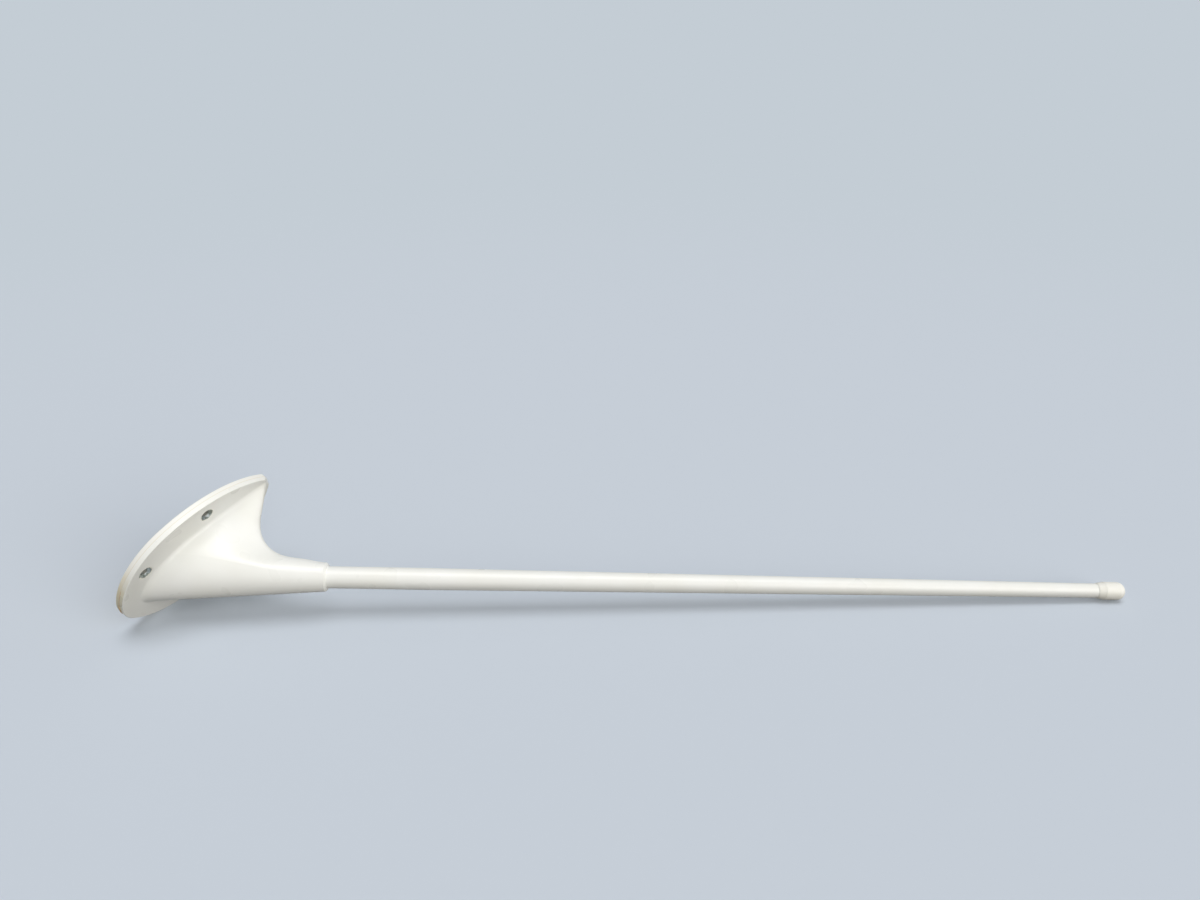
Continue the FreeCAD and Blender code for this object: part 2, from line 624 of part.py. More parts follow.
def fin_section(height, flare):
    """The fin's outline at this height; flare is how much of the root fillet's reach it carries."""
    rake = math.radians(size("rake"))
    flange_top = size(FLANGE_TOP)
    neck_z = size("neck_end") * math.sin(rake)
    share = (height - flange_top) / (neck_z - flange_top)
    half = size("fin_half_width") + share * (size("neck_radius") - size("fin_half_width"))
    blend = 1 - smooth_step((height - flange_top) / size("widest_blend"))
    widest = size("mast_foot") + height / math.tan(rake) + size("widest_aft") * blend
    lead = leading_edge(height) - flare * size("root_lead")
    trail = trailing_edge(height) + flare * size("root_trail")
    half += flare * size("root_radius")
    edge = size("trail_half_width") * (1 + TAIL_FLARE * flare)
    chord = trail - widest

    # Behind the widest line the section is a wedge low down and half an ellipse at the neck
    tail_run = TAIL_SHARE * chord
    wedge = (
        (widest + FLANK_SHARE * chord, half),
        (trail - tail_run, edge + (half - edge) * tail_run / chord),
        (trail, edge),
    )
    ellipse = (
        (widest + QUARTER * chord / 2, half),
        ((widest + QUARTER * chord + trail) / 2, half * (1 + QUARTER) / 2),
        (trail, half * QUARTER / 2),
    )
    round_share = smooth_step((height / neck_z - ROUND_FROM) / ROUND_OVER)
    back = [
        tuple(a + round_share * (b - a) for a, b in zip(low, high)) for low, high in zip(wedge, ellipse)
    ]
    nose = (
        (lead, 0.0),
        (lead, QUARTER * half),
        (widest - QUARTER * (widest - lead), half),
        (widest, half),
    )
    tail = ((widest, half), *back, (trail, 0.0))
    edges = []
    for side in (1, -1):
        front_curve = Part.BSplineCurve()
        front_poles = [FreeCAD.Vector(x, side * y, height) for x, y in nose]
        front_curve.buildFromPolesMultsKnots(front_poles, [4, 4], [0, 1], False, 3)
        back_curve = Part.BSplineCurve()
        back_poles = [FreeCAD.Vector(x, side * y, height) for x, y in tail]
        back_curve.buildFromPolesMultsKnots(back_poles, [4, 1, 4], [0, 0.5, 1], False, 3)
        pair = [front_curve.toShape(), back_curve.toShape()]
        edges += pair if side == 1 else pair[::-1]
    return Part.Wire(edges)


def make_fin():
    """Sections follow the hollow fillet at the root closely, then climb past the neck's end."""
    flange_top = size(FLANGE_TOP)
    radius = size("root_radius")
    sections = []
    for step in range(FILLET_STEPS + 1):
        angle = math.pi / 2 * step / FILLET_STEPS
        sections.append(fin_section(flange_top + radius * (1 - math.cos(angle)), 1 - math.sin(angle)))
    rake = math.radians(size("rake"))
    top = size("neck_end") * math.sin(rake) + size("neck_radius + neck_overrun") * math.cos(rake)
    low = flange_top + radius
    for level in range(1, FIN_LEVELS + 1):
        sections.append(fin_section(low + (top - low) * level / FIN_LEVELS, 0))
    fin = doc.addObject("Part::Feature", "fin_skin")
    fin.Shape = Part.makeLoft(sections, True, False, False, 3)
    return fin


def make_fairing():
    fin = make_fin()
    body = new_body("fairing")
    body.BaseFeature = fin
    doc.recompute()

    outline = plane_sketch(body, "flange_outline", "XY_Plane", FAIRING_FOOT)
    draw_teardrop(outline)
    pad(body, "flange", outline, "flange_thickness")
    flange_top = size(FLANGE_TOP)
    dress(
        body,
        "PartDesign::Fillet",
        "flange_rounding",
        lambda edge: at_height(edge, flange_top) and isinstance(edge.Curve, Part.Circle),
        "flange_edge_radius",
    )

    # The flange's tail leans forward, so that it runs into the trailing edge
    bevel = plane_sketch(body, "tail_bevel_outline", "XZ_Plane")
    lean = "* ( tail_setback - tail_bevel ) / ( flange_thickness - tail_land )"
    above = FLANGE_TOP + " + flange_thickness"
    draw_polygon(
        bevel,
        (
            ("base_rear + tail_land " + lean, FAIRING_FOOT),
            ("base_rear + 2 * tail_setback", FAIRING_FOOT),
            ("base_rear + 2 * tail_setback", above),
            ("base_rear - ( 2 * flange_thickness - tail_land ) " + lean, above),
        ),
    )
    bevel_cut = pocket(body, "tail_bevel_cut", bevel, "2 * base_half_width")
    bevel_cut.Midplane = True

    # Passage, mast socket and the flat end of the neck, cut in one turn about the mast axis
    socket = mast_sketch(body, "mast_socket")
    beyond = "neck_end + neck_clearance"
    clear = "neck_radius + neck_clearance"
    chamfer_end = "neck_end - neck_clearance - neck_chamfer"
    draw_polygon(
        socket,
        (
            ("passage_foot", "0"),
            ("passage_foot", "passage_radius"),
            ("mast_seat", "passage_radius"),
            ("mast_seat", "mast_radius + fit_gap"),
            ("neck_end", "mast_radius + fit_gap"),
            ("neck_end", "neck_radius - neck_chamfer"),
            (chamfer_end, clear),
            (beyond, clear),
            (beyond, "0"),
        ),
    )
    revolve(body, "mast_socket_cut", socket, "H_Axis", cut=True)

    floor = plane_sketch(body, "cavity_floor", "XY_Plane", FAIRING_FOOT)
    draw_tapered_slot(floor, "cavity_nose", "cavity_nose_radius", "cavity_tail", "cavity_tail_radius")
    ceiling = plane_sketch(body, "cavity_ceiling", "XY_Plane", FAIRING_FOOT + " + cavity_height")
    draw_tapered_slot(ceiling, "ceiling_nose", "ceiling_nose_radius", "ceiling_tail", "ceiling_tail_radius")
    cavity = body.newObject("PartDesign::SubtractiveLoft", "cavity")
    cavity.Profile = floor
    cavity.Sections = [ceiling]
    cavity.Ruled = True
    doc.recompute()

    inserts = plane_sketch(body, "insert_holes", "XY_Plane", FAIRING_FOOT)
    for x, y in BASE_SCREWS:
        draw_circle(inserts, x, y, "insert_radius + fit_gap")
    pocket(body, "insert_hole_cut", inserts, "insert_length + fit_gap", upwards=True)

    bolts = plane_sketch(body, "bolt_holes", "XY_Plane", FLANGE_TOP)
    for x, y in BOLTS:
        draw_circle(bolts, x, y, "sleeve_radius + fit_gap")
    doc.recompute()
    holes = body.newObject("PartDesign::Hole", "sleeve_holes_in_flange")
    holes.Profile = bolts
    holes.DepthType = "ThroughAll"
    holes.Threaded = False
    bind(holes, "Diameter", "2 * ( sleeve_radius + fit_gap )")
    holes.HoleCutType = "Countersink"
    bind(holes, "HoleCutDiameter", "2 * ( sleeve_head_radius + fit_gap )")
    bind(holes, "HoleCutCountersinkAngle", "sink_angle")
    return node(body, "fairing")


# Fasteners


def make_sleeves():
    """Flared metal sleeves that carry the bolts' load through the flange and the plate."""
    sleeves = []
    for index, (x, y) in enumerate(BOLTS, start=1):
        name = "sleeve_%d_" % index
        sink = below(FLANGE_TOP, SINK_DEPTH)
        head = below(FLANGE_TOP, HEAD_DEPTH)
        barrel = cylinder(name + "barrel", "sleeve_radius", FLANGE_TOP, x, y)
        flare = cone(name + "flare", "sleeve_radius", "sleeve_head_radius", HEAD_DEPTH, x, y, head)
        bore = cylinder(name + "bore", "bolt_hole_radius", FLANGE_TOP, x, y)
        mouth = cone(name + "mouth", "bolt_hole_radius", "bolt_sink_radius", SINK_DEPTH, x, y, sink)
        outside = fused(name + "outside", [barrel, flare])
        inside = fused(name + "inside", [bore, mouth])
        sleeves.append(cut(name + "turned", outside, inside))
    return group("mounting_sleeves", sleeves)


def below(height, depth):
    """The height this depth below another height, all formulas."""
    return "%s - ( %s )" % (height, depth)


def make_base_screws():
    screws = []
    for name, (x, y) in zip(("front", "rear"), BASE_SCREWS):
        head = cone(
            name + "_screw_head", "screw_head_radius", "screw_radius", SCREW_HEAD_DEPTH, x, y, "0"
        )
        shank = cylinder(name + "_screw_shank", "screw_radius", "screw_length", x, y)
        slot = block(
            name + "_screw_slot",
            ("2 * screw_head_radius", "screw_slot_width", "screw_slot_depth"),
            (x + " - screw_head_radius", "0 - screw_slot_width / 2", "0"),
        )
        whole = fused(name + "_screw_whole", [head, shank])
        screws.append(cut(name + "_screw", whole, slot))
    return group("base_screws", screws)


def make_inserts():
    inserts = []
    for name, (x, y) in zip(("front", "rear"), BASE_SCREWS):
        outside = cylinder(name + "_insert_outside", "insert_radius", "insert_length", x, y, FAIRING_FOOT)
        inside = cylinder(
            name + "_insert_thread", "screw_radius + fit_gap", "insert_length", x, y, FAIRING_FOOT
        )
        inserts.append(cut(name + "_insert", outside, inside))
    return group("fairing_inserts", inserts)


# Mast


def make_mast():
    turned(
        "mast_tube",
        (
            (MAST_FOOT, "ferrule_spigot_radius + fit_gap"),
            (MAST_FOOT, "mast_radius"),
            ("mast_parallel", "mast_radius"),
            ("mast_end - mast_tip_run", "mast_tip_radius"),
            ("mast_end", "mast_tip_radius"),
            ("mast_end", "mast_bore_radius"),
            (MAST_FOOT + " + ferrule_spigot + fit_gap", "mast_bore_radius"),
            (MAST_FOOT + " + ferrule_spigot + fit_gap", "ferrule_spigot_radius + fit_gap"),
        ),
        along_mast=True,
    )
    rod_foot = MAST_FOOT + " + ferrule_spigot - ferrule_socket"
    rod_end = "mast_end - radiator_end_gap"
    turned(
        "radiator_rod",
        ((rod_foot, "0"), (rod_foot, "radiator_radius"), (rod_end, "radiator_radius"), (rod_end, "0")),
        along_mast=True,
    )
    stud_foot = "mast_seat - ferrule_stud"
    turned(
        "mast_ferrule",
        (
            (stud_foot, "lead_radius + fit_gap"),
            (stud_foot, "ferrule_stud_radius"),
            ("mast_seat", "ferrule_stud_radius"),
            ("mast_seat", "mast_radius"),
            (MAST_FOOT, "mast_radius"),
            (MAST_FOOT, "ferrule_spigot_radius"),
            (MAST_FOOT + " + ferrule_spigot", "ferrule_spigot_radius"),
            (MAST_FOOT + " + ferrule_spigot", "radiator_radius + fit_gap"),
            (rod_foot, "radiator_radius + fit_gap"),
            (rod_foot, "0"),
            (stud_foot + " + stud_socket", "0"),
            (stud_foot + " + stud_socket", "lead_radius + fit_gap"),
        ),
        along_mast=True,
    )
    skirt_foot = "mast_end - cap_skirt"
    cap = turned(
        "tip_cap",
        (
            (skirt_foot, "mast_tip_radius + fit_gap"),
            (skirt_foot, "mast_tip_radius + fit_gap + cap_lip"),
            (skirt_foot + " + cap_taper", "cap_radius - cap_step"),
            (skirt_foot + " + cap_taper", "cap_radius"),
            ("mast_end + cap_crown", "cap_radius"),
            ("mast_end + cap_crown", "0"),
            ("mast_end", "0"),
            ("mast_end", "mast_tip_radius + fit_gap"),
        ),
        along_mast=True,
    )
    rake = math.radians(size("rake"))
    end = size("mast_end + cap_crown")
    centre = FreeCAD.Vector(size("mast_foot") + end * math.cos(rake), 0, end * math.sin(rake))
    dress(
        cap,
        "PartDesign::Fillet",
        "cap_dome",
        lambda edge: isinstance(edge.Curve, Part.Circle) and edge.Curve.Center.distanceToPoint(centre) < 0.01,
        "cap_dome_radius",
    )


# Connector


def make_connector():
    body = new_body("connector_body")
    profile = plane_sketch(body, "shell_profile", "XZ_Plane")
    bore_end = SHELL_MOUTH + " + shell_bore_depth"
    draw_polygon(
        profile,
        (
            ("shell_bore_radius", SHELL_MOUTH),
            ("shell_radius", SHELL_MOUTH),
            ("shell_radius", SHELL_FLANGE_FOOT),
            ("shell_flange_radius", SHELL_FLANGE_FOOT),
            ("shell_flange_radius", SHELL_FLANGE_TOP),
            ("shank_radius", SHELL_FLANGE_TOP),
            ("shank_radius", "shank_top"),
            ("dielectric_radius + fit_gap", "shank_top"),
            ("dielectric_radius + fit_gap", bore_end),
            ("shell_bore_radius", bore_end),
        ),
    )
    revolve(body, "shell_turning", profile, "V_Axis")
    lug_height = SHELL_MOUTH + " + lug_setback"
    for side, name in ((1, "right"), (-1, "left")):
        lug = plane_sketch(body, name + "_lug_outline", "YZ_Plane")
        draw_circle(lug, "0", lug_height, "lug_radius")
        bind(lug, "AttachmentOffset.Base.z", "( %d ) * ( shell_bore_radius + shell_radius ) / 2" % side)
        feature = pad(body, name + "_lug", lug, "lug_reach - ( shell_bore_radius + shell_radius ) / 2")
        feature.Reversed = side < 0
        doc.recompute()
    flat = plane_sketch(body, "shank_flat_outline", "XY_Plane", "shank_top")
    draw_polygon(
        flat,
        (
            ("0 - shank_radius", "shank_flat"),
            ("shank_radius", "shank_flat"),
            ("shank_radius", "2 * shank_radius"),
            ("0 - shank_radius", "2 * shank_radius"),
        ),
    )
    pocket(body, "shank_flat_cut", flat, "shank_top + gasket_thickness")
    node(body, "connector_body")

    contact_mouth = SHELL_MOUTH + " + dielectric_setback + contact_setback"
    contact_step = contact_mouth + " + contact_bore_depth + contact_web"
    turned(
        "connector_insulator",
        (
            ("contact_radius + fit_gap", SHELL_MOUTH + " + dielectric_setback"),
            ("dielectric_radius", SHELL_MOUTH + " + dielectric_setback"),
            ("dielectric_radius", bore_end + " - dielectric_collar"),
            ("shell_bore_radius - fit_gap", bore_end + " - dielectric_collar"),
            ("shell_bore_radius - fit_gap", bore_end),
            ("dielectric_radius", bore_end),
            ("dielectric_radius", "dielectric_top"),
            ("pin_radius + fit_gap", "dielectric_top"),
            ("pin_radius + fit_gap", contact_step),
            ("contact_radius + fit_gap", contact_step),
        ),
    )
    pin_top = BOARD_TOP + " + pin_above_board"
    turned(
        "connector_contact",
        (
            ("contact_bore_radius", contact_mouth),
            ("contact_radius", contact_mouth),
            ("contact_radius", contact_step),
            ("pin_radius", contact_step),
            ("pin_radius", pin_top),
            ("0", pin_top),
            ("0", contact_mouth + " + contact_bore_depth"),
            ("contact_bore_radius", contact_mouth + " + contact_bore_depth"),
        ),
    )
    turned(
        "connector_gasket",
        (
            ("shank_radius + fit_gap", SHELL_FLANGE_TOP),
            ("shell_flange_radius", SHELL_FLANGE_TOP),
            ("shell_flange_radius", "0"),
            ("shank_radius + fit_gap", "0"),
        ),
    )


def make_lock_washer():
    """A flat ring whose inner edge is notched into teeth."""
    body = new_body("lock_washer")
    outline = plane_sketch(body, "washer_outline", "XY_Plane", "plate_thickness")
    draw_circle(outline, "0", "0", "washer_radius")
    draw_circle(outline, "0", "0", "shank_radius + fit_gap")
    pad(body, "washer_blank", outline, "washer_thickness")
    doc.recompute()
    notch = plane_sketch(body, "washer_notch", "XY_Plane", TAG_FOOT)
    half = "washer_tooth / 2"
    draw_polygon(
        notch,
        (
            ("shank_radius - washer_tooth", "0 - " + half),
            ("shank_radius + washer_tooth", "0 - " + half),
            ("shank_radius + washer_tooth", half),
            ("shank_radius - washer_tooth", half),
        ),
    )
    notch_cut = pocket(body, "washer_notch_cut", notch, "washer_thickness")
    teeth = body.newObject("PartDesign::PolarPattern", "washer_teeth")
    teeth.Originals = [notch_cut]
    teeth.Axis = (notch, ["N_Axis"])
    teeth.Angle = 360
    bind(teeth, "Occurrences", "washer_teeth")
    body.Tip = teeth
    return node(body, "lock_washer")


def make_ground_tag():
    """A ring under the nut with an arm that turns up to the board's ground pad."""
    ring = cylinder("tag_ring_outside", "shank_radius + tag_ring", "tag_thickness", z=TAG_FOOT)
    side = "0 - tag_width / 2"
    arm = block("tag_arm", ("tag_reach", "tag_width", "tag_thickness"), ("0", side, TAG_FOOT))
    upright = block(
        "tag_upright",
        ("tag_thickness", "tag_width", "board_height - plate_thickness - washer_thickness"),
        ("tag_reach - tag_thickness", side, TAG_FOOT),
    )
    whole = fused("tag_whole", [ring, arm, upright])
    hole = cylinder("tag_hole", "shank_radius + fit_gap", "tag_thickness", z=TAG_FOOT)
    return node(cut("tag_cut", whole, hole), "ground_tag")


def make_nut():
    body = new_body("connector_nut")
    outline = plane_sketch(body, "nut_outline", "XY_Plane", NUT_FOOT)
    corner = size("nut_flats") / math.sqrt(3)
    points = [
        FreeCAD.Vector(corner * math.cos(math.radians(60 * i)), corner * math.sin(math.radians(60 * i)), 0)
        for i in range(6)
    ]
    sides = [
        outline.addGeometry(Part.LineSegment(points[i], points[(i + 1) % 6]), False) for i in range(6)
    ]
    guide = outline.addGeometry(Part.Circle(FreeCAD.Vector(), FreeCAD.Vector(0, 0, 1), corner), True)
    outline.addConstraint(Sketcher.Constraint("Coincident", guide, 3, -1, 1))
    dimension(outline, "Radius", (guide,), "nut_flats / sqrt( 3 )")
    for i, side in enumerate(sides):
        outline.addConstraint(Sketcher.Constraint("Coincident", side, 2, sides[(i + 1) % 6], 1))
        outline.addConstraint(Sketcher.Constraint("PointOnObject", side, 1, guide))
    for side in sides[1:]:
        outline.addConstraint(Sketcher.Constraint("Equal", sides[0], side))
    outline.addConstraint(Sketcher.Constraint("Horizontal", sides[1]))
    draw_circle(outline, "0", "0", "shank_radius + fit_gap")
    pad(body, "nut_blank", outline, "nut_thickness")
    return node(body, "connector_nut")


# Matching circuit


def make_board():
    body = new_body("circuit_board")
    outline = plane_sketch(body, "board_outline", "XY_Plane", "board_height")
    draw_polygon(
        outline,
        (
            ("0 - board_front", "0 - board_half_front"),
            ("0 - board_front_shoulder", "0 - board_half_width"),
            ("board_rear_shoulder", "0 - board_half_width"),
            ("board_rear", "0 - board_half_rear"),
            ("board_rear", "board_half_rear"),
            ("board_rear_shoulder", "board_half_width"),
            ("0 - board_front_shoulder", "board_half_width"),
            ("0 - board_front", "board_half_front"),
        ),
    )
    draw_circle(outline, "0", "0", "pin_radius + hole_gap")
    draw_circle(outline, LEAD_X, "0", "lead_radius + hole_gap")
    for x, y in PILLARS:
        draw_circle(outline, x, y, "board_screw_radius + hole_gap")
    pad(body, "board_blank", outline, "board_thickness")
    return node(body, "circuit_board")


def make_pillars():
    pillars = []
    for index, (x, y) in enumerate(PILLARS, start=1):
        name = "pillar_%d_" % index
        post = cylinder(
            name + "post", "pillar_radius", "board_height - plate_thickness", x, y, "plate_thickness"
        )
        spigot = cylinder(
            name + "spigot",
            "pillar_spigot_radius",
            "pillar_spigot",
            x,
            y,
            "plate_thickness - pillar_spigot",
        )
        thread = cylinder(
            name + "thread",
            "board_screw_radius + fit_gap",
            "board_screw_length",
            x,
            y,
            "board_height - board_screw_length + board_thickness - fit_gap",
        )
        whole = fused(name + "whole", [post, spigot])
        pillars.append(cut(name + "tapped", whole, thread))
    return group("board_pillars", pillars)


def make_board_screws():
    screws = []
    for index, (x, y) in enumerate(PILLARS, start=1):
        name = "board_screw_%d_" % index
        head = cylinder(name + "head", "board_screw_head", "board_screw_head_height", x, y, BOARD_TOP)
        shank = cylinder(
            name + "shank",
            "board_screw_radius",
            "board_screw_length",
            x,
            y,
            BOARD_TOP + " - board_screw_length",
        )
        slot = block(
            name + "slot",
            ("2 * board_screw_head", "board_slot_width", "board_slot_depth"),
            (
                x + " - board_screw_head",
                y + " - board_slot_width / 2",
                BOARD_TOP + " + board_screw_head_height - board_slot_depth",
            ),
        )
        whole = fused(name + "whole", [head, shank])
        screws.append(cut(name + "slotted", whole, slot))
    return group("board_screws", screws)


def make_coil():
    """A former lying along the board with the coil wound on it."""
    between = "coil_pitch * coil_turns + 4 * coil_wire_radius"
    axis_height = BOARD_TOP + " + former_cheek"
    core = cylinder("former_core", "former_radius", between, "former_start", "0", axis_height)
    core.Placement.Rotation = FreeCAD.Rotation(FreeCAD.Vector(0, 1, 0), 90)
    cheeks = [
        block(
            "former_%s_cheek" % name,
            ("former_cheek_thickness", "2 * former_cheek", "2 * former_cheek"),
            (place, "0 - former_cheek", BOARD_TOP),
        )
        for name, place in (
            ("front", "former_start - former_cheek_thickness"),
            ("rear", "former_start + " + between),
        )
    ]
    node(fused("former_whole", [core, *cheeks]), "coil_former")

    coil_radius = size("former_radius + coil_wire_radius + fit_gap")
    wire_radius = size("coil_wire_radius")
    helix = Part.makeHelix(size("coil_pitch"), size("coil_pitch * coil_turns"), coil_radius)
    section = Part.Wire(
        Part.makeCircle(wire_radius, FreeCAD.Vector(coil_radius, 0, 0), FreeCAD.Vector(0, 1, 0))
    )
    winding = doc.addObject("Part::Feature", "winding")
    winding.Shape = Part.Wire(helix.Edges).makePipeShell([section], True, True)
    place = FreeCAD.Vector(size("former_start + 2 * coil_wire_radius"), 0, size(axis_height))
    winding.Placement = FreeCAD.Placement(place, FreeCAD.Rotation(FreeCAD.Vector(0, 1, 0), 90))
    node(winding, "coil_winding")


def make_capacitors():
    capacitors = []
    for name, side in (("left", "capacitor_side"), ("right", "0 - capacitor_side")):
        capacitors.append(
            block(
                name + "_capacitor",
                ("capacitor_length", "capacitor_width", "capacitor_height"),
                ("capacitor_aft - capacitor_length / 2", side + " - capacitor_width / 2", BOARD_TOP),
            )
        )
    return group("tuning_capacitors", capacitors)


LEAD_X = "mast_foot + lead_elbow * cos( rake * 1 deg )"
LEAD_Z = "lead_elbow * sin( rake * 1 deg )"


def make_feed_lead():
    """Bare wire from the ferrule's stud down the mast axis, then straight into the board."""
    body = new_body("feed_lead")
    route = plane_sketch(body, "lead_route", "XZ_Plane")
    rake = math.radians(size("rake"))
    elbow = FreeCAD.Vector(size(LEAD_X), size(LEAD_Z), 0)
    along = FreeCAD.Vector(math.cos(rake), math.sin(rake), 0)
    reach = size("lead_bend") * math.tan((math.pi / 2 - rake) / 2)
    top = size("mast_seat - ferrule_stud + stud_socket - fit_gap") - size("lead_elbow")
    foot = FreeCAD.Vector(elbow.x, size("board_height - lead_below_board"), 0)
    low = elbow + FreeCAD.Vector(0, -reach, 0)
    high = elbow + along * reach
    centre = FreeCAD.Vector(elbow.x + size("lead_bend"), low.y, 0)
    middle = centre + (elbow - centre).normalize() * size("lead_bend")
    rise = Part.LineSegment(foot, low)
    bend = Part.Arc(low, middle, high)
    slant = Part.LineSegment(high, elbow + along * top)
    for piece in (rise, bend, slant):
        route.addGeometry(piece, False)
    section = plane_sketch(body, "lead_section", "XY_Plane", "board_height - lead_below_board")
    draw_circle(section, LEAD_X, "0", "lead_radius")
    wire = body.newObject("PartDesign::AdditivePipe", "lead_wire")
    wire.Profile = section
    wire.Spine = (route, ["Edge1", "Edge2", "Edge3"])
    return node(body, "feed_lead")


make_base_plate()
make_joint_seal()
make_seal_ring()
make_fairing()
make_sleeves()
make_base_screws()
make_inserts()
make_mast()
make_connector()
make_lock_washer()
make_ground_tag()
make_nut()
make_board()
make_pillars()
make_board_screws()
make_coil()
make_capacitors()
make_feed_lead()
doc.recompute()

for item in doc.Objects:
    if "Invalid" in item.State or "Error" in item.State:
        raise RuntimeError("%s did not build: %s" % (item.Label, item.State))
os.makedirs("parts", exist_ok=True)
for piece in NODES:
    shape = piece.Shape
    if shape.isNull() or not shape.isValid() or not shape.Solids:
        raise RuntimeError(piece.Label + " has no valid solid")
    shape.exportStep("parts/%s.step" % piece.Label)
    print("%-20s %2d solid(s) %10.1f mm3" % (piece.Label, len(shape.Solids), shape.Volume))
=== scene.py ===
import math

import bmesh
import bpy
from mathutils import Matrix, Vector, noise


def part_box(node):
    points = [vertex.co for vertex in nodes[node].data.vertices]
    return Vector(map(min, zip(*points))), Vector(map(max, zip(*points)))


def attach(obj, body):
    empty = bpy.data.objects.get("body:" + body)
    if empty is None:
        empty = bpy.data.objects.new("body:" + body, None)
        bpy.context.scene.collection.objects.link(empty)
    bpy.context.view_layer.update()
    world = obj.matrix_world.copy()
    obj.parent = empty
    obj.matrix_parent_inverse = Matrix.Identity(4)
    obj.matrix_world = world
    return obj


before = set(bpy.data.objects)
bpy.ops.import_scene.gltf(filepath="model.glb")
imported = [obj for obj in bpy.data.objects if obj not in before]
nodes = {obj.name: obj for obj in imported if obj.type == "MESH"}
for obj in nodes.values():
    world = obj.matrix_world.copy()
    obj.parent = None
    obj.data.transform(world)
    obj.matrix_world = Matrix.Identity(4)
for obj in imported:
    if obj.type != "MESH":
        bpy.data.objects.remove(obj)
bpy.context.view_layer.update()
print("frame loaded:", len(nodes), "pieces")

# The antenna keeps its own frame: X aft, Z out of the aircraft's skin, the mounting face at Z 0.
# It lies on its side in the picture, so it is the floor and the camera that are tilted here.
mm = 0.001

rim = {
    "front": 48.6 * mm,  # nose of the base ahead of the bolt pattern's centre
    "noseRadius": 23.6 * mm,
    "plateTop": 2.5 * mm,
    "flangeFoot": 2.9 * mm,
    "holeX": 22.8 * mm,
    "holeY": 24.1 * mm,
}

mast = {
    "foot": -20.0 * mm,  # where the mast's axis crosses the mounting face
    "rake": 51.2,  # degrees
    "neckEnd": 99.7 * mm,
    "radius": 6.6 * mm,
}


# Materials

# settings of nodes that many materials share
colourMix = {"data_type": "RGBA"}
softStep = {"interpolation_type": "SMOOTHSTEP"}
multiply = {"operation": "MULTIPLY"}
subtract = {"operation": "SUBTRACT"}
larger = {"operation": "MAXIMUM"}

# where the weather has worked on the leading end: X or Y where it starts and where it is strongest
wear = {
    "flange": (-27 * mm, -43 * mm),
    "plate": (-22 * mm, -44 * mm),
    "sealant": (-37 * mm, -41 * mm),
    "sealantSide": (-5 * mm, -1 * mm),  # across, because more of it is bare on the antenna's right
    "flangeTop": (5.6 * mm, 4.9 * mm),  # Z, so that it stays off the flange's upper face
}

sleeve = {
    "bore": 2.4 * mm,  # a little over the bore's radius
    "lip": (3.8 * mm, 4.1 * mm),  # radius at which the enamel starts and is whole
    "creep": 1.6 * mm,  # how much that wanders
    "rubbedGlossAndPaintedLight": (1.9 * mm, 0.7 * mm),  # of the bore, along X, from where the painted light in its middle is gone to where it is full
    "turning": 0.25 * mm,  # feed of the tool
}


def paint(hexCode):
    # sRGB hex to the linear colour that the shader wants
    channels = [int(hexCode[i : i + 2], 16) / 255 for i in (1, 3, 5)]
    linear = [c / 12.92 if c <= 0.04045 else ((c + 0.055) / 1.055) ** 2.4 for c in channels]
    return (*linear, 1.0)


def addNode(tree, kind, settings=None, **links):
    # a node with its properties and its inputs, which are named or numbered as i0, i6
    made = tree.nodes.new(kind)
    for name, value in (settings or {}).items():
        setattr(made, name, value)
    for name, value in links.items():
        key = int(name[1:]) if name[0] == "i" and name[1:].isdigit() else name.replace("_", " ")
        socket = made.inputs[key]
        if isinstance(value, bpy.types.NodeSocket):
            tree.links.new(value, socket)
        else:
            socket.default_value = paint(value) if isinstance(value, str) else value
    return made


def newMaterial(name, colour, roughness, metallic=0.0, **sockets):
    material = bpy.data.materials.new(name)
    material.use_nodes = True
    tree = material.node_tree
    shader = tree.nodes["Principled BSDF"]
    shader.inputs["Base Color"].default_value = paint(colour)
    shader.inputs["Roughness"].default_value = roughness
    shader.inputs["Metallic"].default_value = metallic
    for socket, value in sockets.items():
        shader.inputs[socket.replace("_", " ")].default_value = value
    place = addNode(tree, "ShaderNodeTexCoord").outputs["Object"]
    return material, tree, shader, place


def patches(tree, place, across, low, high, least=0.0, most=1.0, detail=3.0, stretch=(1, 1, 1)):
    # soft-edged patches about this many metres across
    turned = addNode(tree, "ShaderNodeMapping", Vector=place, Scale=stretch).outputs[0]
    cloud = addNode(tree, "ShaderNodeTexNoise", Vector=turned, Scale=1 / across, Detail=detail)
    edge = addNode(
        tree,
        "ShaderNodeMapRange",
        softStep,
        Value=cloud.outputs["Fac"],
        From_Min=low,
        From_Max=high,
        To_Min=least,
        To_Max=most,
    )
    return edge.outputs["Result"]


def wandering(tree, place, value, ragged, across, detail=4.0):
    # moves a distance to and fro by noise, so that the line it draws is ragged
    cloud = addNode(tree, "ShaderNodeTexNoise", Vector=place, Scale=1 / across, Detail=detail)
    middled = addNode(tree, "ShaderNodeMath", subtract, i0=cloud.outputs["Fac"], i1=0.5).outputs[0]
    moved = {"operation": "MULTIPLY_ADD"}
    return addNode(tree, "ShaderNodeMath", moved, i0=middled, i1=ragged, i2=value).outputs[0]


def reaching(tree, place, letter, limits, most=1.0, ragged=0.0, across=1.0):
    # grows along one axis from 0 at the first limit to most at the second, by a ragged line
    along = addNode(tree, "ShaderNodeSeparateXYZ", Vector=place).outputs[letter]
    along = wandering(tree, place, along, ragged, across)
    start, end = limits
    edge = addNode(
        tree, "ShaderNodeMapRange", softStep, Value=along, From_Min=start, From_Max=end, To_Max=most
    )
    return edge.outputs["Result"]


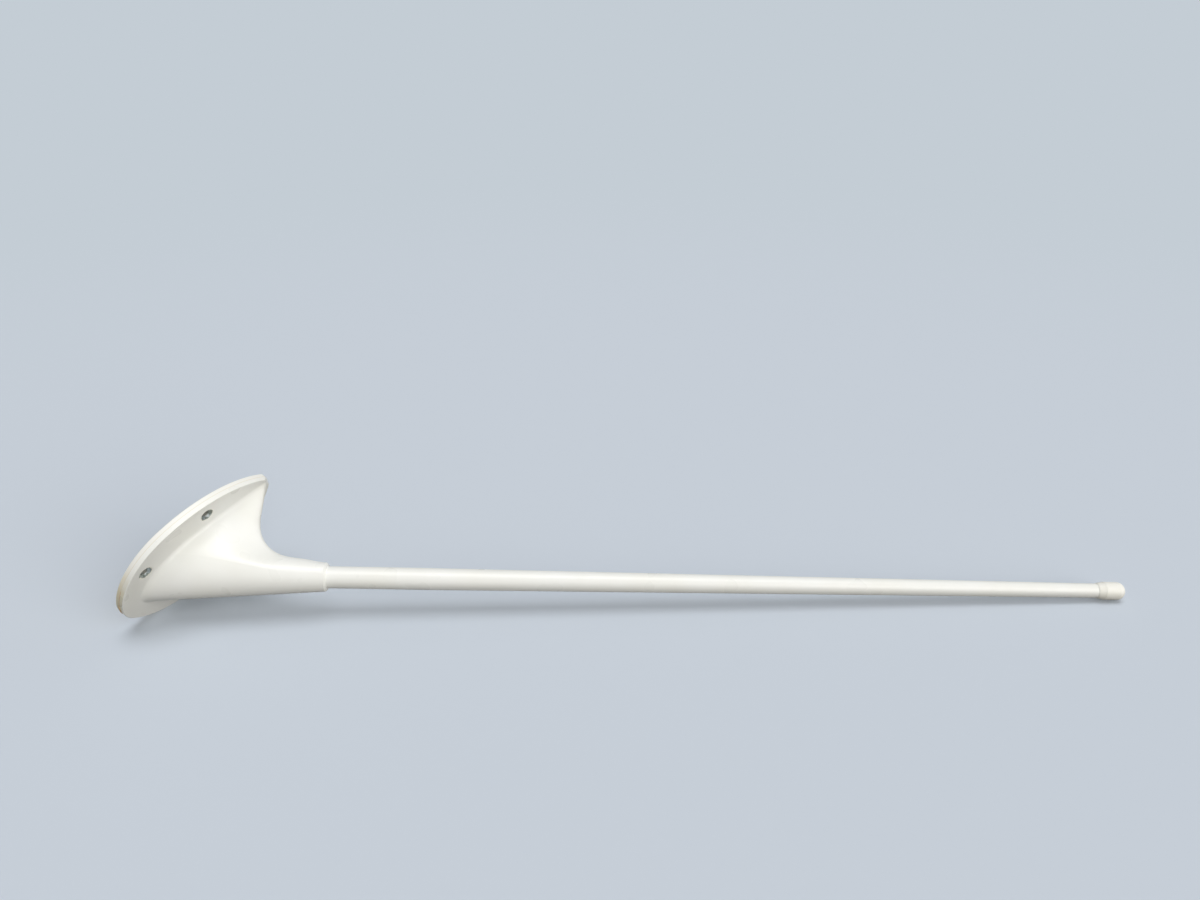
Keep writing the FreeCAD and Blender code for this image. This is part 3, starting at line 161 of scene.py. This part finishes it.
def skin(tree, shader, place, grain, depth, detail=2.0):
    # the fine relief that a surface got when it was made
    cloud = addNode(tree, "ShaderNodeTexNoise", Vector=place, Scale=1 / grain, Detail=detail)
    relief = addNode(tree, "ShaderNodeBump", Height=cloud.outputs["Fac"], Strength=1.0, Distance=depth)
    tree.links.new(relief.outputs["Normal"], shader.inputs["Normal"])


def toolMarks(tree, shader, distance, pitch, depth):
    # rings that a turning tool leaves, one for each pitch of the distance
    step = 2 * math.pi / pitch
    turns = addNode(tree, "ShaderNodeMath", multiply, i0=distance, i1=step).outputs[0]
    rings = addNode(tree, "ShaderNodeMath", {"operation": "SINE"}, i0=turns).outputs[0]
    relief = addNode(tree, "ShaderNodeBump", Height=rings, Strength=1.0, Distance=depth)
    tree.links.new(relief.outputs["Normal"], shader.inputs["Normal"])


# Two-part polyurethane enamel, sprayed: a soft gloss with a trace of orange peel.
# The cream goes a little yellow in drifts, and rubbing has left the gloss uneven.
def enamel(name, fresh, aged, peel):
    material, tree, shader, place = newMaterial(name, fresh, 0.25, IOR=1.5)
    drift = patches(tree, place, 40 * mm, 0.25, 0.8, most=0.7, detail=1.0)
    colour = addNode(tree, "ShaderNodeMix", colourMix, i0=drift, i6=fresh, i7=aged).outputs[2]
    dust = patches(tree, place, 12 * mm, 0.3, 0.95, most=0.12, detail=1.0)
    colour = addNode(tree, "ShaderNodeMix", colourMix, i0=dust, i6=colour, i7="#E4E2D8").outputs[2]
    tree.links.new(colour, shader.inputs["Base Color"])
    rubbedGlossAndPaintedLight = patches(tree, place, 16 * mm, 0.2, 0.8, least=0.26, most=0.33, detail=1.0)
    tree.links.new(rubbedGlossAndPaintedLight, shader.inputs["Roughness"])
    skin(tree, shader, place, peel, 0.005 * mm, detail=0.0)
    return material, tree, shader, place, colour


def fairingEnamel():
    # rain and grit have yellowed the enamel on the rim at the leading end
    fresh, aged, peel = "#F8F9F6", "#F4F4EC", 4.0 * mm
    material, tree, shader, place, colour = enamel("creamEnamelOnMoulding", fresh, aged, peel)
    ahead = reaching(tree, place, "X", wear["flange"], 0.85, ragged=14 * mm, across=7 * mm)
    low = reaching(tree, place, "Z", wear["flangeTop"], ragged=0.5 * mm, across=4 * mm)
    aged = addNode(tree, "ShaderNodeMath", multiply, i0=ahead, i1=low).outputs[0]
    colour = addNode(tree, "ShaderNodeMix", colourMix, i0=aged, i6=colour, i7="#EBE2C2").outputs[2]
    tree.links.new(colour, shader.inputs["Base Color"])
    return material


def capMoulding():
    # injection-moulded acetal left unpainted: satin, and a trace yellower than the enamel
    material, tree, shader, place = newMaterial("satinCreamMoulding", "#F5F4EB", 0.42, IOR=1.48)
    patch = patches(tree, place, 5 * mm, 0.35, 0.7, most=0.6)
    colour = addNode(tree, "ShaderNodeMix", colourMix, i0=patch, i6="#F8F7F0", i7="#F2F0E4").outputs[2]
    tree.links.new(colour, shader.inputs["Base Color"])
    skin(tree, shader, place, 0.5 * mm, 0.004 * mm)
    return material


def plateMaterial():
    # rolled aluminium under a gold chromate coat; the enamel of the fairing runs down over its edge
    material, tree, shader, place = newMaterial("chromateCoatedAluminium", "#C8A765", 0.42, 1.0)
    cloud = patches(tree, place, 30 * mm, 0.25, 0.8, most=0.7, detail=2.0)
    coat = addNode(tree, "ShaderNodeMix", colourMix, i0=cloud, i6="#CDB277", i7="#B89D66").outputs[2]
    rolled = patches(tree, place, 1.2 * mm, 0.55, 0.72, most=0.4, detail=4.0, stretch=(0.03, 1, 1))
    coat = addNode(tree, "ShaderNodeMix", colourMix, i0=rolled, i6=coat, i7="#8F8468").outputs[2]
    ahead = reaching(tree, place, "X", wear["plate"], 0.9, ragged=12 * mm, across=6 * mm)
    edge = addNode(tree, "ShaderNodeMix", colourMix, i0=ahead, i6="#F6F6F0", i7="#E9DEBA").outputs[2]
    foot = (0.02 * mm, 0.06 * mm)  # the underside is left bare
    painted = reaching(tree, place, "Z", foot, ragged=0.1 * mm, across=2.5 * mm)
    colour = addNode(tree, "ShaderNodeMix", colourMix, i0=painted, i6=coat, i7=edge).outputs[2]
    tree.links.new(colour, shader.inputs["Base Color"])
    bare = addNode(tree, "ShaderNodeMath", subtract, i0=1.0, i1=painted).outputs[0]
    tree.links.new(bare, shader.inputs["Metallic"])
    relief = addNode(tree, "ShaderNodeBump", Height=rolled, Strength=1.0, Distance=0.004 * mm)
    tree.links.new(relief.outputs["Normal"], shader.inputs["Normal"])
    return material


def sealantMaterial():
    # cured polysulphide: under the enamel along the rim, amber and bare where that wore off, at the nose
    material, tree, shader, place = newMaterial("amberSealant", "#E9E2CC", 0.5, IOR=1.45)
    ahead = reaching(tree, place, "X", wear["sealant"], ragged=7 * mm, across=3 * mm)
    side = reaching(tree, place, "Y", wear["sealantSide"], ragged=2 * mm, across=2 * mm)
    bare = addNode(tree, "ShaderNodeMath", multiply, i0=ahead, i1=side).outputs[0]
    cloud = patches(tree, place, 2 * mm, 0.35, 0.65)
    amber = addNode(tree, "ShaderNodeMix", colourMix, i0=cloud, i6="#E0C294", i7="#CDA470").outputs[2]
    colour = addNode(tree, "ShaderNodeMix", colourMix, i0=bare, i6="#ECE8DA", i7=amber).outputs[2]
    tree.links.new(colour, shader.inputs["Base Color"])
    skin(tree, shader, place, 1.0 * mm, 0.03 * mm)
    return material


def sleeveSteel():
    # turned stainless steel, dull and stained by the weather, with the tool's rings about each bore
    material, tree, shader, place = newMaterial("weatheredStainlessSleeve", "#B4B6B1", 0.45, 1.0)
    folded = addNode(tree, "ShaderNodeVectorMath", {"operation": "ABSOLUTE"}, i0=place).outputs[0]
    centre = (-rim["holeX"], -rim["holeY"], 0.0)
    about = addNode(tree, "ShaderNodeMapping", Vector=folded, Location=centre).outputs[0]
    flat = addNode(tree, "ShaderNodeMapping", Vector=about, Scale=(1, 1, 0)).outputs[0]
    radius = addNode(tree, "ShaderNodeVectorMath", {"operation": "LENGTH"}, i0=flat).outputs["Value"]
    toolMarks(tree, shader, radius, sleeve["turning"], 0.006 * mm)
    stain = patches(tree, place, 2.4 * mm, 0.38, 0.6, detail=4.0)
    colour = addNode(tree, "ShaderNodeMix", colourMix, i0=stain, i6="#BCC0BD", i7="#7D8279").outputs[2]
    # the enamel of the flange has crept over the lip, further in some places than in others
    crept = wandering(tree, place, radius, sleeve["creep"], 2.2 * mm, detail=2.0)
    start, end = sleeve["lip"]
    lip = addNode(tree, "ShaderNodeMapRange", softStep, Value=crept, From_Min=start, From_Max=end)
    cover = lip.outputs["Result"]
    # and painted light: the middle of the bore along X is made a lighter, matt grey for light falling
    # into it from behind, while its two ends stay stained metal
    along = addNode(tree, "ShaderNodeSeparateXYZ", Vector=about).outputs["X"]
    along = addNode(tree, "ShaderNodeMath", {"operation": "ABSOLUTE"}, i0=along).outputs[0]
    start, end = sleeve["rubbedGlossAndPaintedLight"]
    side = addNode(tree, "ShaderNodeMapRange", softStep, Value=along, From_Min=start, From_Max=end)
    within = {"operation": "LESS_THAN"}
    bore = addNode(tree, "ShaderNodeMath", within, i0=radius, i1=sleeve["bore"]).outputs[0]
    bore = addNode(tree, "ShaderNodeMath", multiply, i0=bore, i1=side.outputs["Result"]).outputs[0]
    colour = addNode(tree, "ShaderNodeMix", colourMix, i0=bore, i6=colour, i7="#93938B").outputs[2]
    colour = addNode(tree, "ShaderNodeMix", colourMix, i0=cover, i6=colour, i7="#EDEBDD").outputs[2]
    tree.links.new(colour, shader.inputs["Base Color"])
    # the painted light band, like the enamel on the lip, is left matt rather than metal
    cover = addNode(tree, "ShaderNodeMath", larger, i0=cover, i1=bore).outputs[0]
    bare = addNode(tree, "ShaderNodeMath", subtract, i0=1.0, i1=cover).outputs[0]
    tree.links.new(bare, shader.inputs["Metallic"])
    return material


def turnedMetal(name, bright, dull, roughness, ring=0.18 * mm):
    # turned or drawn, then plated or left bare: fine rings round Z and a slight tarnish
    material, tree, shader, place = newMaterial(name, bright, roughness, 1.0)
    tarnish = patches(tree, place, 3 * mm, 0.4, 0.72, most=0.8, detail=4.0)
    colour = addNode(tree, "ShaderNodeMix", colourMix, i0=tarnish, i6=bright, i7=dull).outputs[2]
    tree.links.new(colour, shader.inputs["Base Color"])
    height = addNode(tree, "ShaderNodeSeparateXYZ", Vector=place).outputs["Z"]
    toolMarks(tree, shader, height, ring, 0.002 * mm)
    return material


def moulded(name, light, dark, roughness, grain=0.4 * mm, relief=0.004 * mm, **sockets):
    # moulded or dipped, matt to satin, with a fine even skin
    material, tree, shader, place = newMaterial(name, light, roughness, **sockets)
    patch = patches(tree, place, 3 * mm, 0.3, 0.7, detail=4.0)
    colour = addNode(tree, "ShaderNodeMix", colourMix, i0=patch, i6=light, i7=dark).outputs[2]
    tree.links.new(colour, shader.inputs["Base Color"])
    skin(tree, shader, place, grain, relief)
    return material


def boardMaterial():
    # glass-epoxy laminate: green solder mask with the glass weave just showing
    material, tree, shader, place = newMaterial("glassEpoxyLaminate", "#1E5A36", 0.35, IOR=1.5)
    weave = addNode(tree, "ShaderNodeTexChecker", Vector=place, Scale=1 / (0.6 * mm)).outputs["Fac"]
    colour = addNode(tree, "ShaderNodeMix", colourMix, i0=weave, i6="#1E5A36", i7="#23633C").outputs[2]
    tree.links.new(colour, shader.inputs["Base Color"])
    relief = addNode(tree, "ShaderNodeBump", Height=weave, Strength=1.0, Distance=0.01 * mm)
    tree.links.new(relief.outputs["Normal"], shader.inputs["Normal"])
    return material


mastEnamel = enamel("creamEnamelOnGlassFibre", "#F8F9F6", "#F5F5EE", 3.0 * mm)[0]
sealant = sealantMaterial()
nickel = turnedMetal("brightNickelOnBrass", "#D6D0C2", "#B3A98F", 0.22)
stainless = turnedMetal("passivatedStainless", "#BDBCB8", "#96958E", 0.3, 0.35 * mm)
brass = turnedMetal("bareBrass", "#D2A95B", "#A9803C", 0.3)
rubber = moulded("blackNitrileRubber", "#1D1D1C", "#262624", 0.62)
tinned = turnedMetal("tinnedCopper", "#C9C8C3", "#A09F98", 0.35)
copperWire = turnedMetal("enamelledCopperWire", "#B5602F", "#8C4420", 0.25)
finishes = {
    "fairing": fairingEnamel(),
    "mast_tube": mastEnamel,
    "tip_cap": capMoulding(),
    "base_plate": plateMaterial(),
    "joint_seal": sealant,
    "mounting_sleeves": sleeveSteel(),
    "connector_body": nickel,
    "connector_nut": nickel,
    "connector_contact": turnedMetal("goldOnBrass", "#E3BA62", "#CB9A45", 0.22),
    "connector_insulator": moulded("turnedFluoropolymer", "#F3F2EE", "#EAE9E3", 0.45),
    "connector_gasket": rubber,
    "skin_seal_ring": rubber,
    "base_screws": stainless,
    "board_screws": stainless,
    "fairing_inserts": brass,
    "mast_ferrule": brass,
    "board_pillars": brass,
    "lock_washer": tinned,
    "ground_tag": tinned,
    "radiator_rod": turnedMetal("drawnCopperRod", "#C9794A", "#9C5833", 0.32),
    "circuit_board": boardMaterial(),
    "coil_former": moulded("blackPhenolicMoulding", "#1B1A19", "#242220", 0.45),
    "coil_winding": copperWire,
    "feed_lead": copperWire,
    "tuning_capacitors": moulded("dippedCeramic", "#B9762F", "#A5652A", 0.4),
}
for name, piece in nodes.items():
    piece.data.materials.clear()
    piece.data.materials.append(finishes[name])
print("materials on", len(finishes), "pieces")


# Beads that close the two joints one can see


def addPiece(name, mesh, material):
    data = bpy.data.meshes.new(name)
    mesh.to_mesh(data)
    mesh.free()
    data.materials.append(material)
    for face in data.polygons:
        face.use_smooth = True
    piece = bpy.data.objects.new(name, data)
    bpy.context.scene.collection.objects.link(piece)
    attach(piece, "root")
    return piece


noseBead = {
    "radius": 0.36 * mm,
    "reach": 52.0,  # degrees to each side of the nose
    "steps": 120,
    "waver": 0.22 * mm,  # hand-run, so its line and thickness waver
    "wave": 2.6 * mm,
    "seed": 1,  # of the wavering, so that each run gives the same bead
    "end": 0.25,  # share of its thickness left at its two ends
}


def makeNoseBead():
    # sealant squeezed out of the joint between the plate and the fairing at the leading end
    centre = Vector((rim["noseRadius"] - rim["front"], 0, (rim["plateTop"] + rim["flangeFoot"]) / 2))
    start = math.radians(180 - noseBead["reach"])
    bead = bmesh.new()
    ring = bmesh.ops.create_circle(bead, cap_ends=True, segments=10, radius=noseBead["radius"])
    upright = Matrix.Rotation(math.radians(90), 4, "X")
    outwards = Matrix.Translation((rim["noseRadius"], 0, 0))
    place = Matrix.Translation(centre) @ Matrix.Rotation(start, 4, "Z") @ outwards @ upright
    bmesh.ops.transform(bead, matrix=place, verts=ring["verts"])
    bmesh.ops.spin(
        bead,
        geom=bead.faces[:],
        cent=centre,
        axis=(0, 0, 1),
        angle=math.radians(2 * noseBead["reach"]),
        steps=noseBead["steps"],
    )
    noise.seed_set(noseBead["seed"])
    for vertex in bead.verts:
        spoke = vertex.co - centre
        turn = abs(abs(math.degrees(math.atan2(spoke.y, spoke.x))) - 180) / noseBead["reach"]
        flat = Vector((spoke.x, spoke.y, 0))
        line = centre + flat.normalized() * rim["noseRadius"]
        taper = math.sqrt(max(0.0, 1 - turn**6))
        vertex.co = line + (vertex.co - line) * (noseBead["end"] + (1 - noseBead["end"]) * taper)
        vertex.co += noise.noise_vector(line / noseBead["wave"]) * noseBead["waver"] * taper
    bmesh.ops.recalc_face_normals(bead, faces=bead.faces)
    return addPiece("nose_sealant_bead", bead, sealant)


neckBead = {
    "radius": 0.55 * mm,
    "steps": 72,
    "fullest": Vector((0.47, 0.77, -0.43)),  # the side that was up when the enamel ran and dried
    "least": 0.35,  # share of its thickness left on the other side
}


def makeNeckBead():
    # enamel drawn into the corner between the neck's end and the mast
    rake = math.radians(mast["rake"])
    axis = Vector((math.cos(rake), 0, math.sin(rake)))
    centre = Vector((mast["foot"], 0, 0)) + axis * mast["neckEnd"]
    bead = bmesh.new()
    ring = bmesh.ops.create_circle(bead, cap_ends=False, segments=12, radius=neckBead["radius"])
    across = Matrix.Rotation(math.radians(90), 4, "X")
    side = Vector((math.sin(rake), 0, -math.cos(rake)))
    place = Matrix.Translation(centre + side * mast["radius"]) @ across
    bmesh.ops.transform(bead, matrix=place, verts=ring["verts"])
    bmesh.ops.spin(
        bead,
        geom=bead.edges[:],
        cent=centre,
        axis=axis,
        angle=math.radians(360),
        steps=neckBead["steps"],
        use_merge=True,
    )
    for vertex in bead.verts:
        spoke = vertex.co - centre
        spoke = (spoke - spoke.dot(axis) * axis).normalized()
        line = centre + spoke * mast["radius"]
        full = min(1.0, max(0.0, 0.5 + spoke.dot(neckBead["fullest"])))
        thickness = neckBead["least"] + (1 - neckBead["least"]) * full
        vertex.co = line + (vertex.co - line) * thickness
    bmesh.ops.recalc_face_normals(bead, faces=bead.faces)
    return addPiece("neck_enamel_bead", bead, mastEnamel)


makeNoseBead()
makeNeckBead()
print("beads added")


# Camera

camera = {
    "place": (0.01096, 0.56286, 0.27792),  # of the lens
    "lookAt": (0.26575, -0.14828, 0.11686),  # where the middle of the picture meets the floor
    "roll": 127.54,  # degrees, because the antenna's own frame is tipped over
    "lens": 28.5,
    "sensor": 36.0,
}

cameraData = bpy.data.cameras.new("photoCamera")
cameraData.lens = camera["lens"]
cameraData.sensor_width = camera["sensor"]
cameraData.clip_start = 0.01
photoCamera = bpy.data.objects.new("photoCamera", cameraData)
bpy.context.scene.collection.objects.link(photoCamera)
gaze = Vector(camera["lookAt"]) - Vector(camera["place"])
roll = Matrix.Rotation(math.radians(camera["roll"]), 4, "Z")
turn = gaze.to_track_quat("-Z", "Y").to_matrix().to_4x4() @ roll
photoCamera.matrix_world = Matrix.Translation(camera["place"]) @ turn
bpy.context.scene.camera = photoCamera


# Floor: pale and matt, seen and felt from above only, so that a view from below looks through it

floor = {
    "up": (0.46951, 0.77074, -0.43072),  # it carries the rim of the base and the tip cap
    "reach": 12.0,  # metres to each side
    "seen": "#D1DAE5",  # its colour to the eye
    "felt": "#55534E",  # its colour in the light that it throws back at the antenna
    "fadeFrom": 0.42,  # metres from its middle, where it starts to turn into the backdrop
    "fadeTo": 1.30,
    "backdrop": "#C4CDD5",
}

up = Vector(floor["up"]).normalized()
right = photoCamera.matrix_world.to_3x3() @ Vector((1, 0, 0))
right = (right - right.dot(up) * up).normalized()
away = up.cross(right)
lowest = min(vertex.co.dot(up) for piece in nodes.values() for vertex in piece.data.vertices)
middle = (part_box("fairing")[0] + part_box("tip_cap")[1]) / 2
middle -= (middle.dot(up) - lowest) * up


def looking(tree):
    # 1 for the eye, straight on or by way of gloss or glass, and 0 for light on its way to the antenna
    path = addNode(tree, "ShaderNodeLightPath").outputs
    glossy, through = path["Is Glossy Ray"], path["Is Transmission Ray"]
    gloss = addNode(tree, "ShaderNodeMath", larger, i0=glossy, i1=through).outputs[0]
    return addNode(tree, "ShaderNodeMath", larger, i0=path["Is Camera Ray"], i1=gloss).outputs[0]


def floorMaterial():
    seen, felt = floor["seen"], floor["felt"]
    material, tree, shader, place = newMaterial("paleMattFloor", seen, 0.9, Specular_IOR_Level=0.0)
    eye = looking(tree)
    colour = addNode(tree, "ShaderNodeMix", colourMix, i0=eye, i6=felt, i7=seen).outputs[2]
    tree.links.new(colour, shader.inputs["Base Color"])
    distance = {"operation": "DISTANCE"}
    far = addNode(tree, "ShaderNodeVectorMath", distance, i0=place, i1=middle).outputs["Value"]
    fade = addNode(
        tree,
        "ShaderNodeMapRange",
        softStep,
        Value=far,
        From_Min=floor["fadeFrom"],
        From_Max=floor["fadeTo"],
    ).outputs["Result"]
    share = addNode(tree, "ShaderNodeMath", multiply, i0=fade, i1=eye).outputs[0]
    plain = addNode(tree, "ShaderNodeEmission", Color=floor["backdrop"], Strength=1.0).outputs[0]
    blend = addNode(tree, "ShaderNodeMixShader", Fac=share, i1=shader.outputs[0], i2=plain).outputs[0]
    below = addNode(tree, "ShaderNodeNewGeometry").outputs["Backfacing"]
    clear = addNode(tree, "ShaderNodeBsdfTransparent").outputs[0]
    oneSided = addNode(tree, "ShaderNodeMixShader", Fac=below, i1=blend, i2=clear).outputs[0]
    tree.links.new(oneSided, tree.nodes["Material Output"].inputs["Surface"])
    return material


floorMesh = bpy.data.meshes.new("floor")
sheet = bmesh.new()
bmesh.ops.create_grid(sheet, x_segments=1, y_segments=1, size=floor["reach"])
tilt = Matrix((right, away, up)).transposed().to_4x4()
bmesh.ops.transform(sheet, matrix=Matrix.Translation(middle) @ tilt, verts=sheet.verts)
sheet.to_mesh(floorMesh)
sheet.free()
floorMesh.materials.append(floorMaterial())
floorPiece = bpy.data.objects.new("floor", floorMesh)
bpy.context.scene.collection.objects.link(floorPiece)
floorPiece.visible_shadow = False  # the lamp behind it still reaches the antenna


# Light: a broad soft lamp overhead, a broader one from the right of the camera, one for the side that
# lies on the floor, which it passes through, and an even glow all round. The lamps are far off, so the
# floor is as light in the distance as it is near.

lights = {
    # where each comes from, along the picture's width, away from the camera and up
    "overhead": {"from": (0.03, -0.08, 1.0), "spread": 38.0, "strength": 1.08, "colour": "#FFFFFF"},
    "fill": {"from": (0.80, -0.88, 0.57), "spread": 50.0, "strength": 1.76, "colour": "#FFFCF7"},
    "behind": {"from": (-0.10, 0.87, -0.50), "spread": 40.0, "strength": 1.5, "colour": "#FFFFFF"},
    "glow": 0.30,
}

for name in ("overhead", "fill", "behind"):
    made = lights[name]
    lampData = bpy.data.lights.new(name, "SUN")
    lampData.angle = math.radians(made["spread"])
    lampData.energy = made["strength"]
    lampData.color = paint(made["colour"])[:3]
    lamp = bpy.data.objects.new(name, lampData)
    bpy.context.scene.collection.objects.link(lamp)
    along, back, height = made["from"]
    lamp.location = middle + along * right + back * away + height * up
    lamp.rotation_mode = "QUATERNION"
    lamp.rotation_quaternion = (middle - lamp.location).to_track_quat("-Z", "Y")

world = bpy.data.worlds.new("studio")
bpy.context.scene.world = world
world.use_nodes = True
sky = world.node_tree
sky.nodes.clear()
soft = addNode(sky, "ShaderNodeBackground", Color="#FFFFFF", Strength=lights["glow"])
plain = addNode(sky, "ShaderNodeBackground", Color=floor["backdrop"], Strength=1.0)
both = addNode(sky, "ShaderNodeMixShader", Fac=looking(sky), i1=soft.outputs[0], i2=plain.outputs[0])
addNode(sky, "ShaderNodeOutputWorld", Surface=both.outputs[0])
bpy.context.scene.view_settings.view_transform = "Standard"
print("camera, floor and light stand")
